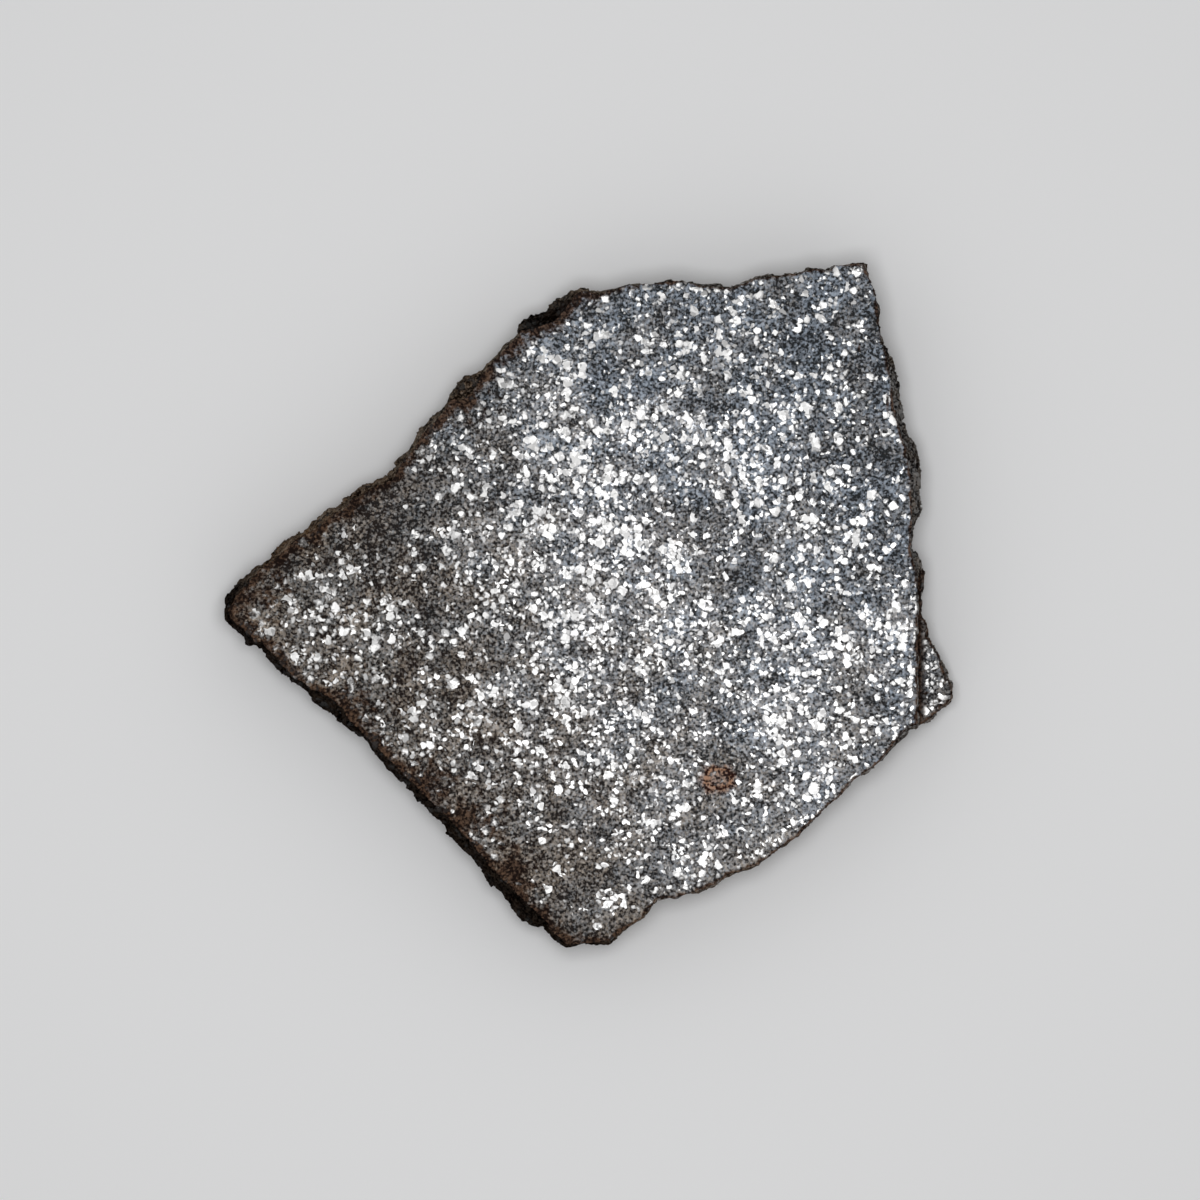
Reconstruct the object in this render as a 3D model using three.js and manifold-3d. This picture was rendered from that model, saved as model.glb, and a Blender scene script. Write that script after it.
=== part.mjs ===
// A slice of stony meteorite: one solid, in millimetres, +Z up.
// It lies on its sawn underside with the polished face on top. The rim between the two faces is
// rough stone: weathered on one side, dark crust on another, broken on the rest, with a sawn ledge.

import * as THREE from "three";
import { ImprovedNoise } from "three/addons/math/ImprovedNoise.js";
import { mergeVertices } from "three/addons/utils/BufferGeometryUtils.js";
import Module from "manifold-3d";

// Driving dimensions of the slab and its rim
const THICKNESS = 4.6; // between the two sawn faces
const BELLY = 0.4; // where the rim stands out furthest, as a share of the thickness from the top
const UNDERCUT = 0.4; // how far the underside stops short of the belly
const RIM_STEP = 0.6; // spacing of the points along the rim
const RING_DEPTHS = [0, 0.06, 0.16, 0.28, 0.42, 0.56, 0.7, 0.84, 0.95, 1]; // shares of the thickness

// Uneven stone: the sizes of its lumps, and how much each size adds
const LUMPS = [
  { size: 3.1, share: 0.5 },
  { size: 1.4, share: 0.35 },
  { size: 0.7, share: 0.25 },
];
const ROUGHNESS = 0.55; // from the rim's furthest lump to its deepest hollow
const LUMP_SHARE = 0.35; // share of it that stands out past the corners below
const EDGE_ROUGHNESS = 0.25; // share of it that is left where the rim meets a sawn face
const SEAM_WAVE = 0.16; // how far the rim's lumps wander up and down

// Corners of the rim seen from above, clockwise from the left tip: x, y, and the bevel there,
// which is how far the polished face stops short of the rim.
const WEATHERED_SIDE = [
  [-18.4, -0.4, 0.3], [-18.15, 0.3, 0.4], [-16.9, 1.8, 0.4], [-16.15, 2.25, 0.35], [-15.05, 3.3, 0.4],
  [-14.25, 3.6, 0.3], [-13.15, 4.65, 0.4], [-12.6, 4.8, 0.3], [-12.4, 5.3, 0.4], [-11.4, 5.9, 0.4],
  [-10.1, 6.3, 0.25], [-9.45, 7.3, 0.2], [-8.95, 7.9, 0.25], [-8.45, 8.8, 0.2], [-7.4, 9.9, 0.25],
  [-6.7, 11.2, 0.3], [-6.25, 11.5, 0.35], [-5.5, 11.6, 0.2], [-4.3, 12.9, 0.15], [-3.5, 13.5, 0.1],
  [-3.6, 13.9, 0.1],
];
const TOP_SIDE = [
  [-2.55, 15.2, 0.1], [-1.9, 15.4, 0.1], [-0.25, 15.7, 0.05], [0.45, 15.5, 0], [1.9, 15.9, 0],
  [4.6, 16.2, 0.02], [5.65, 16, 0.05], [7.05, 15.8, 0.02], [8.35, 16.25, 0], [10.3, 16.5, 0],
  [11, 16.7, 0], [12.05, 16.7, 0.02], [12.25, 16.9, 0], [13.75, 17.1, 0],
];
const RIGHT_SIDE = [
  [14.35, 15.4, 0], [14.65, 13.05, 0.05], [15, 12.8, 0.2], [15.6, 10.7, 0.55], [15.5, 10.3, 0.4],
  [16.05, 8.3, 0.4], [16.35, 8.1, 0.6], [16.65, 6.7, 0.65], [16.7, 4.65, 0.55], [16.4, 4.2, 0.25],
  [16.25, 2.75, 0.12], [16.75, 1.5, 0.4], [16.75, -0.55, 0.3],
];
const LEDGE_SIDE = [
  [17.55, -2.1, 0.15], [18.2, -3.8, 0.15], [18.45, -4.3, 0.1], [18.35, -4.8, 0.1], [17.2, -5.8, 0.15],
  [16.05, -6.3, 0.12],
];
const BROKEN_SIDE = [
  [14.55, -7.95, 0], [13.15, -8.95, 0.02], [12.7, -9.5, 0], [11.75, -10.3, 0], [11.45, -10.7, 0.05],
  [10.4, -11.7, 0], [8.35, -13.1, 0], [6.95, -13.6, 0.02], [6.2, -14.1, 0], [4.25, -14.8, 0],
  [3.4, -14.9, 0.05], [2.6, -15.8, 0.02], [0.95, -16.9, 0], [-0.3, -17, 0],
];
const CRUSTED_SIDE = [
  [-1.15, -17.2, 0.1], [-1.9, -16.75, 0.25], [-2.35, -16.4, 0.55], [-2.9, -16.4, 0.95], [-4.5, -15, 1.05],
  [-4.8, -14.4, 0.75], [-6.45, -12.25, 0.6], [-7.5, -11.15, 0.6], [-10.1, -8.35, 0.4], [-11.6, -6.65, 0.25],
  [-12.7, -5.9, 0.5], [-13.05, -5.4, 0.45], [-13.7, -5.1, 0.4], [-14.7, -4, 0.35], [-15.05, -3.9, 0.35],
  [-16.75, -2, 0.35], [-17.1, -2, 0.35], [-17.3, -1.6, 0.3], [-18.2, -0.8, 0.25],
];

// The sawn ledge at the right: a straight cut down, and a rough shelf that slopes away outwards
const LEDGE_CUT_X = 16.4;
const LEDGE_Y = [-7.4, 1.7];
const LEDGE_DROP = 2; // shelf below the polished face, at the cut
const LEDGE_SLOPE = 0.16; // fall of the shelf for each millimetre outwards
const LEDGE_REACH = 3; // past the rim on every side, so the cut is clean
const LEDGE_ROUGHNESS = 0.22;
const LEDGE_GRID = 0.6; // spacing of the shelf's points

// Chips scooped out of the polished face's edge: centre, half sizes along, across and deep, and turn
const CHIPS = [
  { at: [-2.5, 15.2, THICKNESS], half: [2.2, 1.2, 1.7], turn: 35 }, // dark chip, top left
  { at: [-6.7, 11.35, THICKNESS], half: [1.15, 1.1, 0.7], turn: 45 }, // small brown notch
  { at: [-13.25, -5.4, THICKNESS], half: [1.4, 0.7, 1.3], turn: -40 }, // chip in the crust
];
// Flake scars all along the lower rim, shallow and close enough to leave ridges between them
const SCAR_SPACING = 7; // rim points from one scar to the next
const SCAR_HALF = [3.8, 3.2, 2.6]; // half sizes along, across and deep of the ball that leaves one
const SCAR_BITE = 0.35; // how far that ball reaches in past the rim
const SCAR_HEIGHTS = [1.1, 0.2, 1.6, 0.7, 1.4]; // of the scars' middles above the underside, in turn
const CHIP_DETAIL = 3; // how finely a chip or scar is faceted
const CHIP_ROUGHNESS = 0.16; // as a share of the chip's size
const CHIP_LUMPS = 2; // how many lumps fit along half a chip

const { manifoldSolid, geometryOf } = await booleanTools();
const noise = new ImprovedNoise();

// How far the stone is uneven at a point, from about -1 to 1.
function unevenness(x, y, z) {
  return LUMPS.reduce((sum, { size, share }) => sum + share * noise.noise(x / size, y / size, z / size), 0);
}

// Points along the whole rim, with the bevel eased from corner to corner.
function rimPoints() {
  const corners = [WEATHERED_SIDE, TOP_SIDE, RIGHT_SIDE, LEDGE_SIDE, BROKEN_SIDE, CRUSTED_SIDE].flat();
  return corners.flatMap((corner, i) => {
    const next = corners[(i + 1) % corners.length];
    const length = Math.hypot(next[0] - corner[0], next[1] - corner[1]);
    const steps = Math.max(1, Math.round(length / RIM_STEP));
    const between = (share) => corner.map((value, axis) => THREE.MathUtils.lerp(value, next[axis], share));
    return Array.from({ length: steps }, (_, step) => between(step / steps));
  });
}

// One point of the rim at a depth below the polished face, moved in along its line to the middle:
// by the bevel above the belly, by the undercut below it, and by the stone's hollows.
function wallPoint([x, y, bevel], depth) {
  const mid = Math.sin(Math.PI * depth);
  const z = THICKNESS * (1 - depth) + SEAM_WAVE * mid * unevenness(y, THICKNESS * depth, x);
  const above = 1 - Math.sin((Math.PI / 2) * Math.min(depth / BELLY, 1));
  const below = Math.max(depth - BELLY, 0) / (1 - BELLY);
  const hollow = THREE.MathUtils.clamp(0.5 - unevenness(x, y, z), 0, 1) - LUMP_SHARE;
  const roughShare = THREE.MathUtils.lerp(EDGE_ROUGHNESS, 1, mid);
  const inward = bevel * above + UNDERCUT * below ** 2 + ROUGHNESS * roughShare * hollow;
  const scale = 1 - inward / Math.hypot(x, y);
  return [x * scale, y * scale, z];
}

// The slab: rings of rim points, joined by bands of triangles and closed by the two sawn faces.
function slab() {
  const rim = rimPoints();
  const count = rim.length;
  const rings = RING_DEPTHS.map((depth) => rim.map((point) => wallPoint(point, depth)));
  const index = [];
  for (let ring = 0; ring < rings.length - 1; ring += 1) {
    for (let i = 0; i < count; i += 1) {
      const [a, b] = [ring * count + i, ring * count + ((i + 1) % count)];
      index.push(a, b, a + count, b, b + count, a + count);
    }
  }
  const face = (ring) => rings[ring].map(([x, y]) => new THREE.Vector2(x, y));
  const last = rings.length - 1;
  for (const [a, b, c] of THREE.ShapeUtils.triangulateShape(face(0), [])) {
    index.push(a, b, c);
  }
  for (const [a, b, c] of THREE.ShapeUtils.triangulateShape(face(last), [])) {
    index.push(last * count + a, last * count + c, last * count + b);
  }
  const geometry = new THREE.BufferGeometry();
  geometry.setAttribute("position", new THREE.Float32BufferAttribute(rings.flat(2), 3));
  geometry.setIndex(index);
  return geometry;
}

// The block that is sawn away above the ledge, its lower face rough and sloping.
function ledgeBlock() {
  const [low, high] = LEDGE_Y;
  const width = LEDGE_REACH;
  const height = LEDGE_DROP + LEDGE_REACH;
  const steps = [width, high - low].map((size) => Math.ceil(size / LEDGE_GRID));
  const block = new THREE.BoxGeometry(width, high - low, height, ...steps, 1);
  block.translate(LEDGE_CUT_X + width / 2, (low + high) / 2, THICKNESS - LEDGE_DROP + height / 2);
  const position = block.attributes.position;
  for (let i = 0; i < position.count; i += 1) {
    const [x, y, z] = [position.getX(i), position.getY(i), position.getZ(i)];
    if (z < THICKNESS) {
      const outwards = x - LEDGE_CUT_X;
      position.setZ(i, z - LEDGE_SLOPE * outwards + LEDGE_ROUGHNESS * unevenness(x, y, z));
    }
  }
  return block;
}

// One chip: an uneven ball, stretched to its half sizes, turned and set on the rim.
function chipBall({ at, half, turn }) {
  const ball = mergeVertices(bare(new THREE.IcosahedronGeometry(1, CHIP_DETAIL)));
  const position = ball.attributes.position;
  for (let i = 0; i < position.count; i += 1) {
    const point = [position.getX(i), position.getY(i), position.getZ(i)];
    const lump = noise.noise(...point.map((value, axis) => CHIP_LUMPS * value + at[axis]));
    position.setXYZ(i, ...point.map((value) => value * (1 + CHIP_ROUGHNESS * lump)));
  }
  ball.scale(...half);
  ball.rotateZ(THREE.MathUtils.degToRad(turn));
  ball.translate(...at);
  return ball;
}

// The flake scars, each set just outside the rim and turned along it.
function flakeScars() {
  const rim = rimPoints();
  return rim.flatMap(([x, y], i) => {
    if (i % SCAR_SPACING) {
      return [];
    }
    const [aheadX, aheadY] = rim[(i + 1) % rim.length];
    const out = 1 + (SCAR_HALF[1] - SCAR_BITE) / Math.hypot(x, y);
    const height = SCAR_HEIGHTS[(i / SCAR_SPACING) % SCAR_HEIGHTS.length];
    const turn = THREE.MathUtils.radToDeg(Math.atan2(aheadY - y, aheadX - x));
    return [{ at: [x * out, y * out, height], half: SCAR_HALF, turn }];
  });
}

// A geometry with nothing but its positions, so that shared vertices can be merged.
function bare(geometry) {
  geometry.deleteAttribute("normal");
  geometry.deleteAttribute("uv");
  return geometry;
}

// Closed geometries to solids that can be cut, and back.
async function booleanTools() {
  const wasm = await Module();
  wasm.setup();
  return {
    manifoldSolid(geometry) {
      const closed = mergeVertices(geometry);
      const vertProperties = new Float32Array(closed.attributes.position.array);
      const triVerts = new Uint32Array(closed.index.array);
      return new wasm.Manifold(new wasm.Mesh({ numProp: 3, vertProperties, triVerts }));
    },
    geometryOf(solid) {
      const mesh = solid.getMesh();
      const geometry = new THREE.BufferGeometry();
      geometry.setAttribute("position", new THREE.Float32BufferAttribute(mesh.vertProperties, 3));
      geometry.setIndex(new THREE.Uint32BufferAttribute(mesh.triVerts, 1));
      return geometry;
    },
  };
}

// The slab with its ledge sawn and its chips broken out, the origin under the middle of its box.
function sliceGeometry() {
  const cuts = [bare(ledgeBlock()), ...[...CHIPS, ...flakeScars()].map(chipBall)];
  const solid = cuts.reduce((rest, cut) => rest.subtract(manifoldSolid(cut)), manifoldSolid(slab()));
  const geometry = geometryOf(solid);
  geometry.computeBoundingBox();
  const { min, max } = geometry.boundingBox;
  geometry.translate(-(min.x + max.x) / 2, -(min.y + max.y) / 2, -min.z);
  geometry.computeVertexNormals();
  return geometry;
}

const stone = new THREE.MeshStandardMaterial({ color: "#767575", roughness: 0.45, metalness: 0.2 });
const slice = new THREE.Mesh(sliceGeometry(), stone);
slice.name = "meteorite_slice";

const part = new THREE.Group();
part.add(slice);

export default part;
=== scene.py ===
# %% [markdown]
# # A polished slice of stony meteorite
# A saw cut this slice from a stone that fell from space. Its two big faces are flat and polished, so the
# metal grains in the grey stone flash white. Its rim is rough: brown and weathered on one side, painted
# black on another, partly as crust and partly as painted shade, and broken on the rest.
#
# The solid comes from CAD, as a fixed frame. Blender copies it, gives the rim its shards and grit,
# and makes the stone, the metal and the crust as materials.

# %% Load the frame
import math

import bmesh
import bpy
import numpy as np
from mathutils.kdtree import KDTree
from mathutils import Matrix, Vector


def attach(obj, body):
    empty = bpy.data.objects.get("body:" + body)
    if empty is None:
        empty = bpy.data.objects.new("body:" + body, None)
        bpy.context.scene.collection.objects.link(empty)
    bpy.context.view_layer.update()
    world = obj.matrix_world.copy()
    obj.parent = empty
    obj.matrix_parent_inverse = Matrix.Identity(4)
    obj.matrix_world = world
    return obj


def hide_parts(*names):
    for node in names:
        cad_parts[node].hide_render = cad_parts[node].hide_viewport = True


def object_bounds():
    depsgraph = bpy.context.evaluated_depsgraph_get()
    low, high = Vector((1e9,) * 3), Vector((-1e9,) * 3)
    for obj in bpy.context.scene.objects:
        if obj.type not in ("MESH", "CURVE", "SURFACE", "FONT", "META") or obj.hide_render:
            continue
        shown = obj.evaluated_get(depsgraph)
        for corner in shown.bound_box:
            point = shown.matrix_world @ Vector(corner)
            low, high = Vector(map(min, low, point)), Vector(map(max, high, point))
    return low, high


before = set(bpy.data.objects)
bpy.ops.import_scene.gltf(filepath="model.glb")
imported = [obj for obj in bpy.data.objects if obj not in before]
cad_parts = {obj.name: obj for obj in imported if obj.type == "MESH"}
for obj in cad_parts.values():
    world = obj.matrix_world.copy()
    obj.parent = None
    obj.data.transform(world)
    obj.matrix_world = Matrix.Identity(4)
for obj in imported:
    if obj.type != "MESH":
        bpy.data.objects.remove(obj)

MM = 0.001
NODE = "meteorite_slice"
cad_low, cad_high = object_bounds()
TOP = cad_high.z / MM
print(f"the slice is {[round(v / MM, 2) for v in cad_high - cad_low]} mm")


# %% [markdown]
# ## Two small helpers
# Colours are written as sRGB hex values, as a paint program shows them, but shaders add light, so
# they need linear values. Nodes could be placed by hand in the editor. Here one function adds them
# all: it makes the node, sets its options, fills or links its inputs, and hands back one of its
# outputs to link onwards.
#
# An input goes by its name or its number. A Map Range takes a value at 0 and turns the range from 1
# to 2 into the range from 3 to 4. A Mix goes by the factor at 0 from one value to another: numbers at
# 2 and 3, vectors at 4 and 5, colours at 6 and 7. A noise runs from 0 to 1 about its middle.

# %% Colours and nodes
MIX_COLOURS = {"out": 2, "data_type": "RGBA"}
NOISE_MIDDLE = 0.5
MIDDLE_POINT = (NOISE_MIDDLE,) * 3


def linear(hex_colour):
    """An sRGB hex colour such as "#8a8883" as linear RGBA."""
    values = [int(hex_colour[i:i + 2], 16) / 255 for i in (1, 3, 5)]
    return (*[v / 12.92 if v <= 0.04045 else ((v + 0.055) / 1.055) ** 2.4 for v in values], 1.0)


def add(tree, kind, inputs=None, out=0, **settings):
    """Adds a node with its settings, fills or links its inputs, and returns one of its outputs."""
    node = tree.nodes.new(kind)
    for name, value in settings.items():
        setattr(node, name, value)
    for key, value in (inputs or {}).items():
        if isinstance(value, bpy.types.NodeSocket):
            tree.links.new(value, node.inputs[key])
        else:
            node.inputs[key].default_value = value
    return node.outputs[out] if len(node.outputs) else node


print("mid grey is", [round(v, 3) for v in linear("#808080")])


# %% [markdown]
# ## A finer skin for the stone
# The CAD solid has facets about half a millimetre wide, too coarse for grit. Subdividing them would
# cut the flat faces as finely as the rim. A voxel remesh wraps the solid in small even quads instead.
# Its adaptivity joins them again where the stone is flat, so the polished face costs little and the
# rough rim keeps all its detail.

# %% Remesh a copy of the solid
# How near two corners are to be one, how wide a quad of the skin is, and how readily flat ones join
WELD_MM = 0.001
VOXEL_MM = 0.075
ADAPTIVITY = 0.02


def plain_mesh(holder, name):
    """The holder's mesh with its modifiers applied, and the holder's modifiers removed."""
    graph = bpy.context.evaluated_depsgraph_get()
    mesh = bpy.data.meshes.new_from_object(holder.evaluated_get(graph))
    mesh.name = name
    holder.modifiers.clear()
    return mesh


def welded_copy(node):
    """A copy of a CAD node's mesh with its loose triangles joined, so that it is closed."""
    mesh = node.data.copy()
    work = bmesh.new()
    work.from_mesh(mesh)
    bmesh.ops.remove_doubles(work, verts=work.verts, dist=WELD_MM * MM)
    work.to_mesh(mesh)
    work.free()
    mesh.materials.clear()
    return mesh


stone = bpy.data.objects.new("stone", welded_copy(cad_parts[NODE]))
bpy.context.scene.collection.objects.link(stone)
remesh = stone.modifiers.new("fine_skin", "REMESH")
remesh.mode = "VOXEL"
remesh.voxel_size = VOXEL_MM * MM
remesh.adaptivity = ADAPTIVITY
stone.data = plain_mesh(stone, "stone_skin")
print(f"the skin has {len(stone.data.polygons)} faces")


# %% [markdown]
# ## What is sawn and what is broken
# A face is sawn where it is level: the polished top, the underside and the shelf of the ledge. All
# else is rim. The two could be picked by hand, but a rule still holds when the solid changes. Two
# measures are stored on the points for later: how far a point of a sawn face is from the rim, which
# the stains follow, and how far a point of the rim is from the sawn faces, which lets the grit fade
# out towards the polished edge.

# %% Helpers for reading and storing
def read(items, name, width=1, kind=np.float32):
    """One value for each item of a mesh, as an array."""
    values = np.zeros(len(items) * width, kind)
    items.foreach_get(name, values)
    return values.reshape(-1, width) if width > 1 else values


def store(mesh, name, kind, domain, values):
    """Keeps an array on a mesh as a named attribute."""
    mesh.attributes.new(name, kind, domain).data.foreach_set("value", values)


def distances(points, targets):
    """From each point to the nearest target, in millimetres."""
    tree = KDTree(len(targets))
    for i, target in enumerate(targets):
        tree.insert(target, i)
    tree.balance()
    return np.array([tree.find(point)[2] for point in points], np.float32) / MM


print(f"{len(stone.data.vertices)} points to measure")

# %% Mark the rim
# The upright part of a sawn face's normal, and how near it lies to the slice's top or underside
LEVEL = 0.93
FACE_SKIN_MM = 0.04
# Where the ledge's shelf begins, and the upright part of its normal, since it slopes a little
LEDGE_X_MM = 16.45
LEDGE_LEVEL = 0.8
# The strip of rim beside the sawn faces in which the grit fades out
FADE_MM = 0.15


def mark_rim(mesh):
    """Stores which faces are rim, the two distances, and a sharp edge where rim and face meet."""
    normals = read(mesh.polygons, "normal", 3)
    centres = read(mesh.polygons, "center", 3) / MM
    outer = (centres[:, 2] > TOP - FACE_SKIN_MM) | (centres[:, 2] < FACE_SKIN_MM)
    sawn = (np.abs(normals[:, 2]) > LEVEL) & outer
    shelf = (centres[:, 0] > LEDGE_X_MM) & (normals[:, 2] > LEDGE_LEVEL) & ~outer
    rim = ~(sawn | shelf)
    corners = read(mesh.loops, "vertex_index", kind=np.int32)
    edges = read(mesh.loops, "edge_index", kind=np.int32)
    rim_corner = np.repeat(rim, read(mesh.polygons, "loop_total", kind=np.int32))
    touches_rim, touches_face = np.zeros((2, len(mesh.vertices)), bool)
    touches_rim[corners[rim_corner]] = True
    touches_face[corners[~rim_corner]] = True
    edge_rim, edge_face = np.zeros((2, len(mesh.edges)), bool)
    edge_rim[edges[rim_corner]] = True
    edge_face[edges[~rim_corner]] = True
    places = read(mesh.vertices, "co", 3)
    rim_mm = distances(places, places[touches_rim])
    face_mm = distances(places, places[touches_face])
    store(mesh, "rim_face", "BOOLEAN", "FACE", rim)
    store(mesh, "shelf", "FLOAT", "FACE", shelf.astype(np.float32))
    store(mesh, "rim_mm", "FLOAT", "POINT", rim_mm)
    store(mesh, "looseness", "FLOAT", "POINT", np.clip(face_mm / FADE_MM, 0, 1))
    store(mesh, "sharp_edge", "BOOLEAN", "EDGE", edge_rim & edge_face)
    return rim


rim_faces = mark_rim(stone.data)
print(f"{rim_faces.sum()} of the faces are rim")


# %% [markdown]
# ## The rim's shards and grit
# Stone breaks grain by grain. The rim could be sculpted, but it follows a rule, so Geometry Nodes
# make it, with its sizes as named inputs. Every point first wanders a little sideways, which frets
# the polished edge and leaves the faces flat. Then the rim's points move along their normals, by
# shards half a millimetre wide and by finer grit. How high a point stands is kept, because crests
# wear paler than hollows. Last, every point is held inside the solid's own box, so the slice keeps
# its size and lies flat.

# %% Move the points
# Sizes and depths in millimetres, which are the inputs of the tree
RELIEF = {
    "Fret size": 0.34,
    "Fret depth": 0.11,
    "Shard size": 0.5,
    "Shard depth": 0.13,
    "Grit size": 0.22,
    "Grit depth": 0.16,
}
# How many finer layers the noises have, and how strong those are
RELIEF_LAYERS = 3.0
FRET_ROUGHNESS = 0.65
GRIT_ROUGHNESS = 0.6
# The share of a shard's depth that lies below the wall
SHARD_SUNK = 0.6
# A noise swings by half to either side, a depth by the whole, in metres
SWING = 2 * MM


def fret_edge(tree, given, place, per_mm):
    """Moves every point of the stone a little sideways."""
    fret = add(tree, "ShaderNodeTexNoise", {"Vector": place, "Scale": per_mm["Fret size"],
                                            "Detail": RELIEF_LAYERS, "Roughness": FRET_ROUGHNESS},
               out="Color")
    fret = add(tree, "ShaderNodeVectorMath", {0: fret, 1: MIDDLE_POINT}, operation="SUBTRACT")
    fret = add(tree, "ShaderNodeVectorMath", {0: fret, 1: (SWING, SWING, 0)}, operation="MULTIPLY")
    fret = add(tree, "ShaderNodeVectorMath", {0: fret, "Scale": given["Fret depth"]}, operation="SCALE")
    return add(tree, "GeometryNodeSetPosition", {"Geometry": given["Stone"], "Offset": fret})


def roughen_rim(tree, given, place, per_mm, moved):
    """Moves the rim's points along their normals, and keeps how high each stands."""
    shard = add(tree, "ShaderNodeTexVoronoi", {"Vector": place, "Scale": per_mm["Shard size"]}, out="Color")
    shard = add(tree, "ShaderNodeSeparateXYZ", {0: shard})
    shard = add(tree, "ShaderNodeMath", {0: shard, 1: SHARD_SUNK}, operation="SUBTRACT")
    shard = add(tree, "ShaderNodeMath", {0: shard, 1: given["Shard depth"]}, operation="MULTIPLY")
    grit = add(tree, "ShaderNodeTexNoise", {"Vector": place, "Scale": per_mm["Grit size"],
                                            "Detail": RELIEF_LAYERS, "Roughness": GRIT_ROUGHNESS})
    grit = add(tree, "ShaderNodeMath", {0: grit, 1: NOISE_MIDDLE}, operation="SUBTRACT")
    crest = add(tree, "ShaderNodeMath", {0: grit, 1: given["Grit depth"], 2: shard},
                operation="MULTIPLY_ADD")
    moved = add(tree, "GeometryNodeStoreNamedAttribute", {"Geometry": moved, "Name": "crest_mm",
                                                          "Value": crest}, data_type="FLOAT", domain="POINT")
    loose = add(tree, "GeometryNodeInputNamedAttribute", {"Name": "looseness"}, data_type="FLOAT")
    height = add(tree, "ShaderNodeMath", {0: crest, 1: loose}, operation="MULTIPLY")
    height = add(tree, "ShaderNodeMath", {0: height, 1: SWING}, operation="MULTIPLY")
    outwards = add(tree, "GeometryNodeInputNormal")
    offset = add(tree, "ShaderNodeVectorMath", {0: outwards, "Scale": height}, operation="SCALE")
    return add(tree, "GeometryNodeSetPosition", {"Geometry": moved, "Offset": offset})


def hold_in_box(tree, moved):
    """Brings every point that has left the solid's box back to its side."""
    kept = add(tree, "GeometryNodeInputPosition")
    kept = add(tree, "ShaderNodeVectorMath", {0: kept, 1: cad_low}, operation="MAXIMUM")
    kept = add(tree, "ShaderNodeVectorMath", {0: kept, 1: cad_high}, operation="MINIMUM")
    return add(tree, "GeometryNodeSetPosition", {"Geometry": moved, "Position": kept})


print("relief in mm:", RELIEF)


# %% [markdown]
# ## The stone: an ordinary chondrite
# The ground is a salt and pepper of grains a tenth of a millimetre wide. In it lie grains of nickel
# iron, two to six tenths wide, often joined in clusters, with dark sulphide beside them. A picture
# could show this on one face only. Voronoi cells and noises that read the place in the object run
# through the whole stone, as the grains of the real one do. Both the polished face and the rough rim
# show this stone, so it is one node group that both materials use.

# %% Where the stone has more metal, and where less
# Centre and size in millimetres, then how much the share of metal changes there
PATCHES = [
    (-2.0, 9.8, 2.4, 0.2),
    (1.2, 3.2, 2.0, 0.12),
    (-1.2, 5.0, 3.2, 0.2),
    (2.6, -0.4, 2.4, 0.18),
    (-2.6, 0.5, 3.2, 0.12),
    (8.2, 7.6, 2.6, 0.2),
    (2.8, 8.8, 2.4, 0.18),
    (9.6, -4.8, 1.9, 0.2),
    (11.4, -7.4, 1.8, 0.1),
    (12.2, -1.4, 3.0, 0.18),
    (-0.6, -9.6, 2.4, -0.04),
    (-6.0, -5.6, 2.8, 0.19),
    (-13.2, -1.4, 2.4, 0.2),
    (7.2, 3.2, 1.4, -0.14),
    (-7.0, -1.0, 2.0, -0.14),
    (-9.4, 3.8, 3.2, -0.18),
    (6.0, -6.5, 2.6, -0.1),
    (14.0, 1.6, 1.0, -0.2),
    (14.2, 8.0, 1.6, -0.14),
    (-6.0, -11.0, 2.6, -0.1),
    (13.6, -4.6, 1.0, -0.1),
    (18.3, -3.2, 2.6, 0.42),
    (-10.4, -6.6, 1.2, 0.2),
    (-0.5, -14.5, 3.2, -0.2),
    (-16.4, 0.2, 1.4, -0.1),
    (12.5, 14.0, 2.6, -0.12),
    (7.5, -11.5, 2.0, -0.1),
    (-0.5, -3.2, 2.0, 0.1),
    (7.4, -0.6, 1.6, -0.1),
    (-5.0, 2.6, 1.5, 0.12),
    (10.2, 2.8, 1.5, 0.12),
    (6.8, -8.8, 1.6, -0.08),
]
# Below the middle the metal is finer: centre and size
FINER = (2.5, -6.5, 6.0)
# A patch is full within the first of these shares of its size, and ends at the second
PATCH_EDGE = (0.3, 1.5)
# Towards the upper right the ground is cooler, and darker as painted shade where the lamp's gleam fades: the
# direction, and where that begins and is full
TO_UPPER_RIGHT = ((0.5, 0.87, 0.0), -12.0, 14.0)


def place_mm(tree):
    """The place in the object, in millimetres."""
    place = add(tree, "ShaderNodeTexCoord", out="Object")
    return add(tree, "ShaderNodeVectorMath", {0: place, "Scale": 1 / MM}, operation="SCALE")


def side_mask(tree, place, side):
    """From 0 to 1 along a direction."""
    towards, start, end = side
    along = add(tree, "ShaderNodeVectorMath", {0: place, 1: towards}, out="Value", operation="DOT_PRODUCT")
    return add(tree, "ShaderNodeMapRange", {0: along, 1: start, 2: end})


def patch_mask(tree, place, patch):
    """From 1 in the middle of a round patch to 0 outside it."""
    x, y, size = patch
    full, end = (edge * size for edge in PATCH_EDGE)
    gap = add(tree, "ShaderNodeVectorMath", {0: place, 1: (x, y, TOP)}, out="Value", operation="DISTANCE")
    return add(tree, "ShaderNodeMapRange", {0: gap, 1: full, 2: end, 3: 1.0, 4: 0.0},
               interpolation_type="SMOOTHSTEP")


print(f"{len(PATCHES)} patches in the stone")

# %% The metal grains
# The sizes of the stone's patterns, in millimetres, and how many finer layers the noises have
GRAIN_MM = {"cloud": 1.3, "bend": 0.3, "speck": 0.11, "fine": 0.15, "clump": 0.8, "tint": 2.4}
GRAIN_LAYERS = 2.0
TINT_LAYERS = 3.0
# The share of places that hold a metal grain, where the cloud is thin and where it is thick
CLOUD = (0.3, 0.7)
METAL_SHARE = (0.02, 0.48)
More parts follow.
